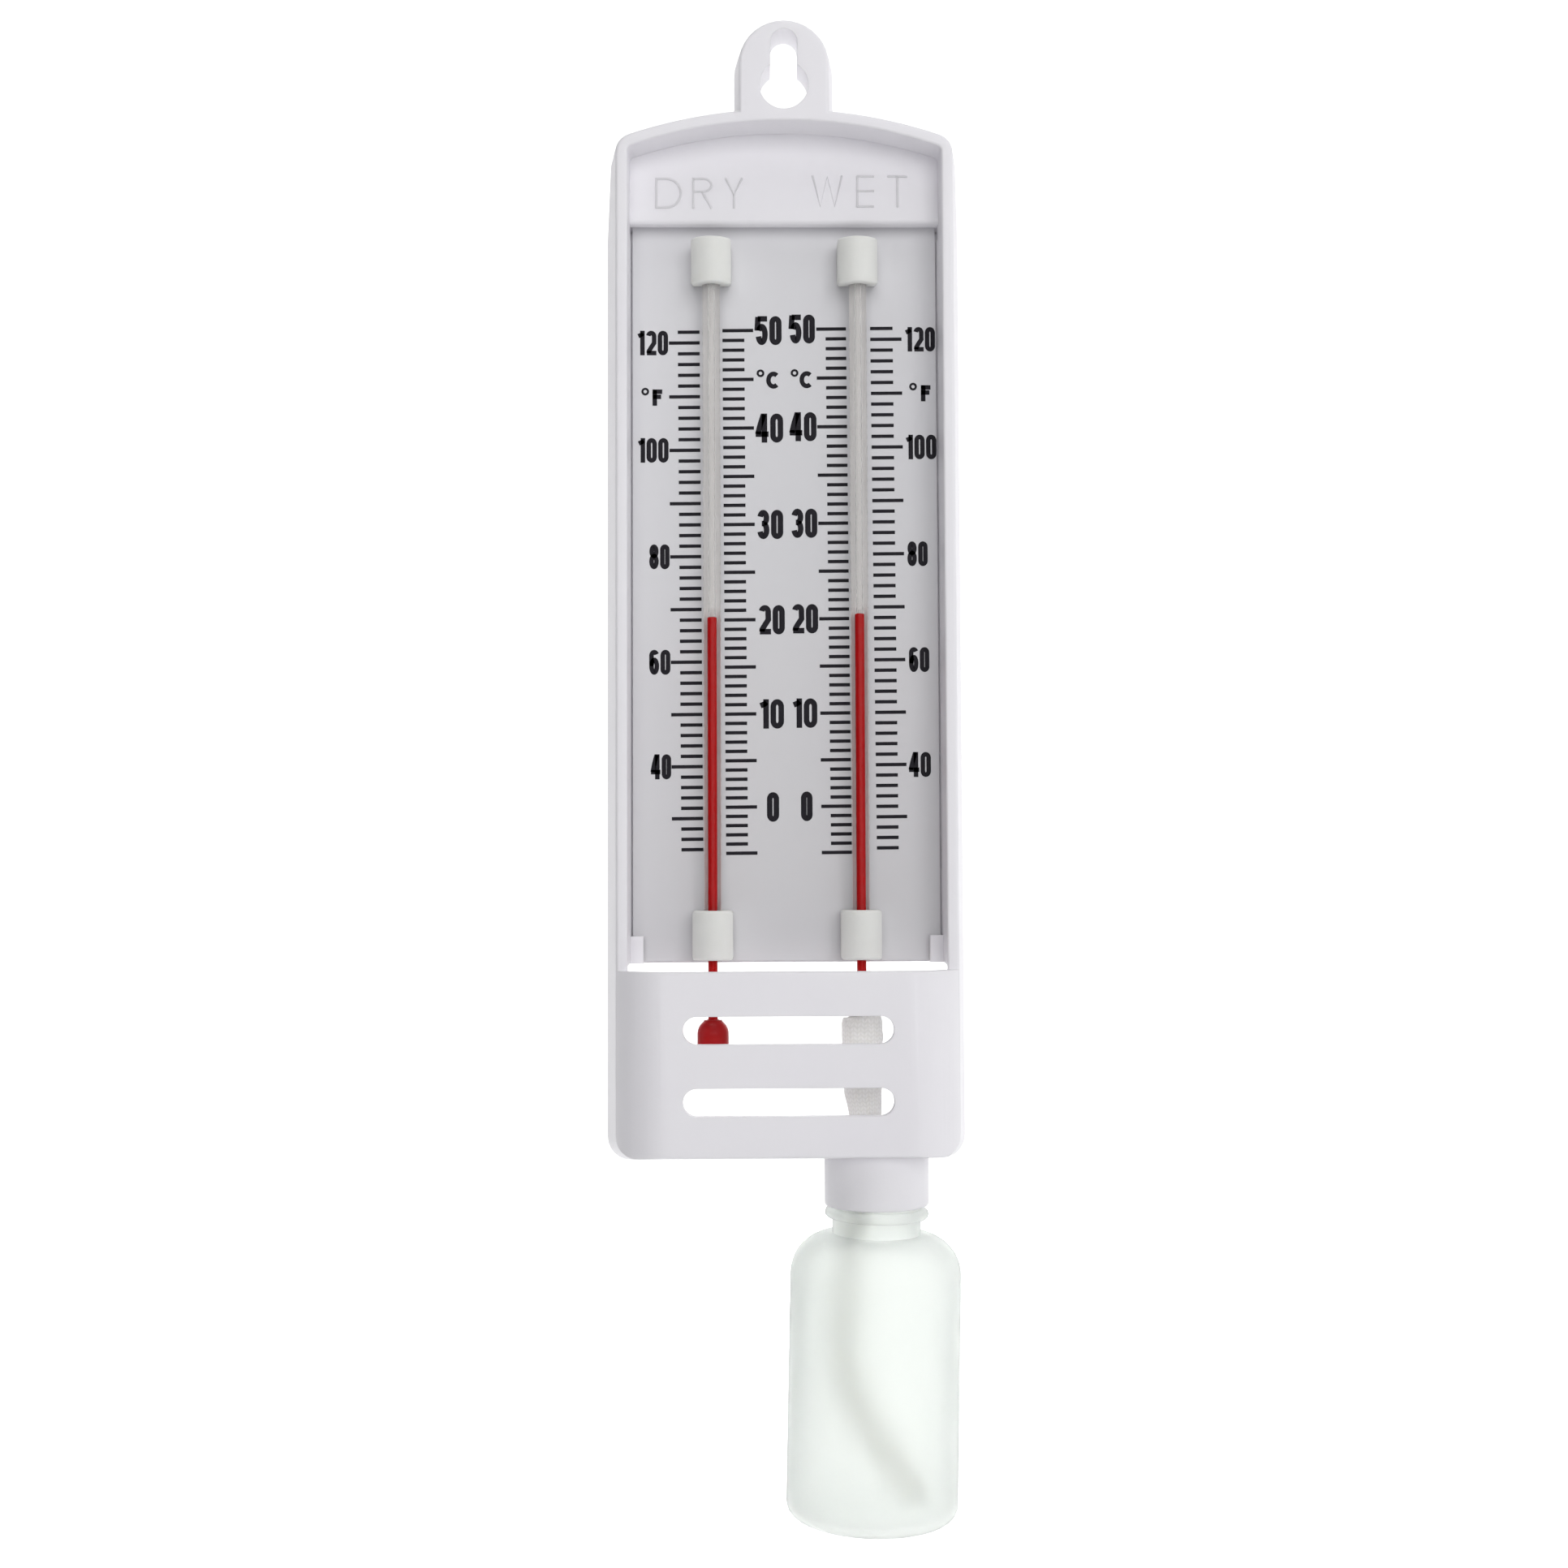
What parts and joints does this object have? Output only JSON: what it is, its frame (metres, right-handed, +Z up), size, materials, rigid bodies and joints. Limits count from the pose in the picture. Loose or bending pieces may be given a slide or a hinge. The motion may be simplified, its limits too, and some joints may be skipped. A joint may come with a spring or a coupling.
{
  "type": "wet and dry bulb hygrometer",
  "caption": "Wall-hung white plastic wet and dry bulb hygrometer: tray case with keyhole tab, red spirit thermometers, slotted bulb guard, wick and push-fit water bottle.",
  "frame": {"origin": "on the wall plane, where the hook or screw that carries the instrument leaves the wall, level with the centre of the round top of the hanging slot", "axes": "+Z up, +Y into the wall, front facing -Y, +X to the right as seen from the front"},
  "size_m": [0.0646, 0.0304, 0.2601],
  "materials": {
    "white_plastic": "satin moulded",
    "plate_plastic": "satin, printed in black",
    "glass": "clear drawn glass",
    "red_spirit": "red liquid",
    "sleeve_plastic": "soft, matt",
    "cotton": "knitted cotton",
    "bottle_plastic": "translucent, satin"
  },
  "bodies": {
    "case": {"case": "white_plastic", "scale_plate": "plate_plastic", "dry_tube": "glass", "wet_tube": "glass", "dry_spirit": "red_spirit", "wet_spirit": "red_spirit", "dry_top_cap": "sleeve_plastic", "wet_top_cap": "sleeve_plastic", "dry_lower_sleeve": "sleeve_plastic", "wet_lower_sleeve": "sleeve_plastic", "wick": "cotton", "wick_tie": "cotton"},
    "bottle": {"bottle": "bottle_plastic"}
  },
  "joints": [
    {"name": "bottle_pull", "type": "slide", "parent": "case", "child": "bottle", "axis": [-0.0227, 0, -0.9997], "range_m": [0, 0.01]}
  ]
}
